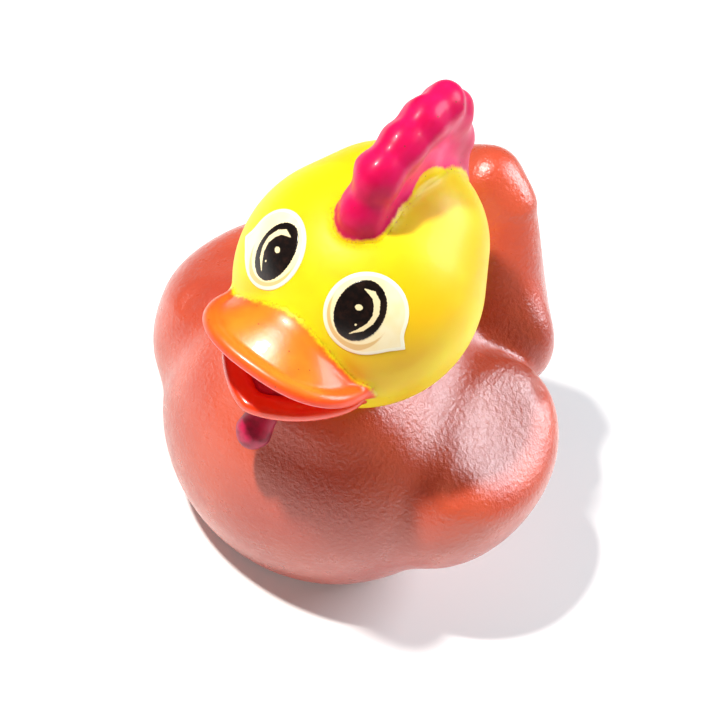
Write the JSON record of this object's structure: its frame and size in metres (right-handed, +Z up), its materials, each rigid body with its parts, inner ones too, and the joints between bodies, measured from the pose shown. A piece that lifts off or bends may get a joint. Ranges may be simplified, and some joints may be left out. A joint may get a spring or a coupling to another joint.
{
  "type": "rubber chicken squeak toy",
  "caption": "Hollow vinyl bath toy shaped as a seated rooster with a turning round head, open bill, tall comb, raised lobed tail and a push-in squeaker in its flat base.",
  "frame": {"origin": "centre of the bounding box in X and Y, on the flat base", "axes": "the bird faces -Y, +Z is up and +X is its left side; the bird is mirror-symmetric about X = 0"},
  "size_m": [0.0908, 0.0954, 0.1159],
  "materials": {
    "body_vinyl": "glossy soft vinyl with a fine pebbled skin",
    "head_vinyl": "smooth semi-gloss soft vinyl",
    "comb_vinyl": "glossy soft vinyl",
    "bill_orange": "glossy sprayed soft vinyl",
    "bill_red": "glossy sprayed soft vinyl",
    "mouth_magenta": "glossy soft vinyl",
    "wattle_magenta": "glossy soft vinyl",
    "eye_white_ink": "printed cream ink",
    "eye_black_ink": "printed black ink",
    "squeaker_plastic": "moulded natural plastic",
    "reed_film": "thin clear plastic strip"
  },
  "bodies": {
    "duck_body": {"body_shell": "body_vinyl", "squeaker_cup": "squeaker_plastic", "reed_plate": "squeaker_plastic", "squeaker_cap": "squeaker_plastic"},
    "reed": {"squeaker_reed": "reed_film"},
    "head": {"head_shell": "head_vinyl", "comb": "comb_vinyl", "upper_bill": "bill_orange", "lower_bill": "bill_red", "mouth_lining": "mouth_magenta", "wattle": "wattle_magenta", "eye_white_left": "eye_white_ink", "eye_white_right": "eye_white_ink", "eye_pupil_left": "eye_black_ink", "eye_pupil_right": "eye_black_ink"}
  },
  "joints": [
    {"name": "head_turn", "type": "hinge", "parent": "duck_body", "child": "head", "pos_m": [0, -0.01285, 0.05], "axis": [0, 0, 1], "range_deg": [-35, 35]},
    {"name": "reed_flex", "type": "hinge", "parent": "duck_body", "child": "reed", "pos_m": [0, -0.0037, 0.0062], "axis": [1, 0, 0], "range_deg": [-5, 5], "stiffness_Nm_per_rad": 0.0002}
  ]
}
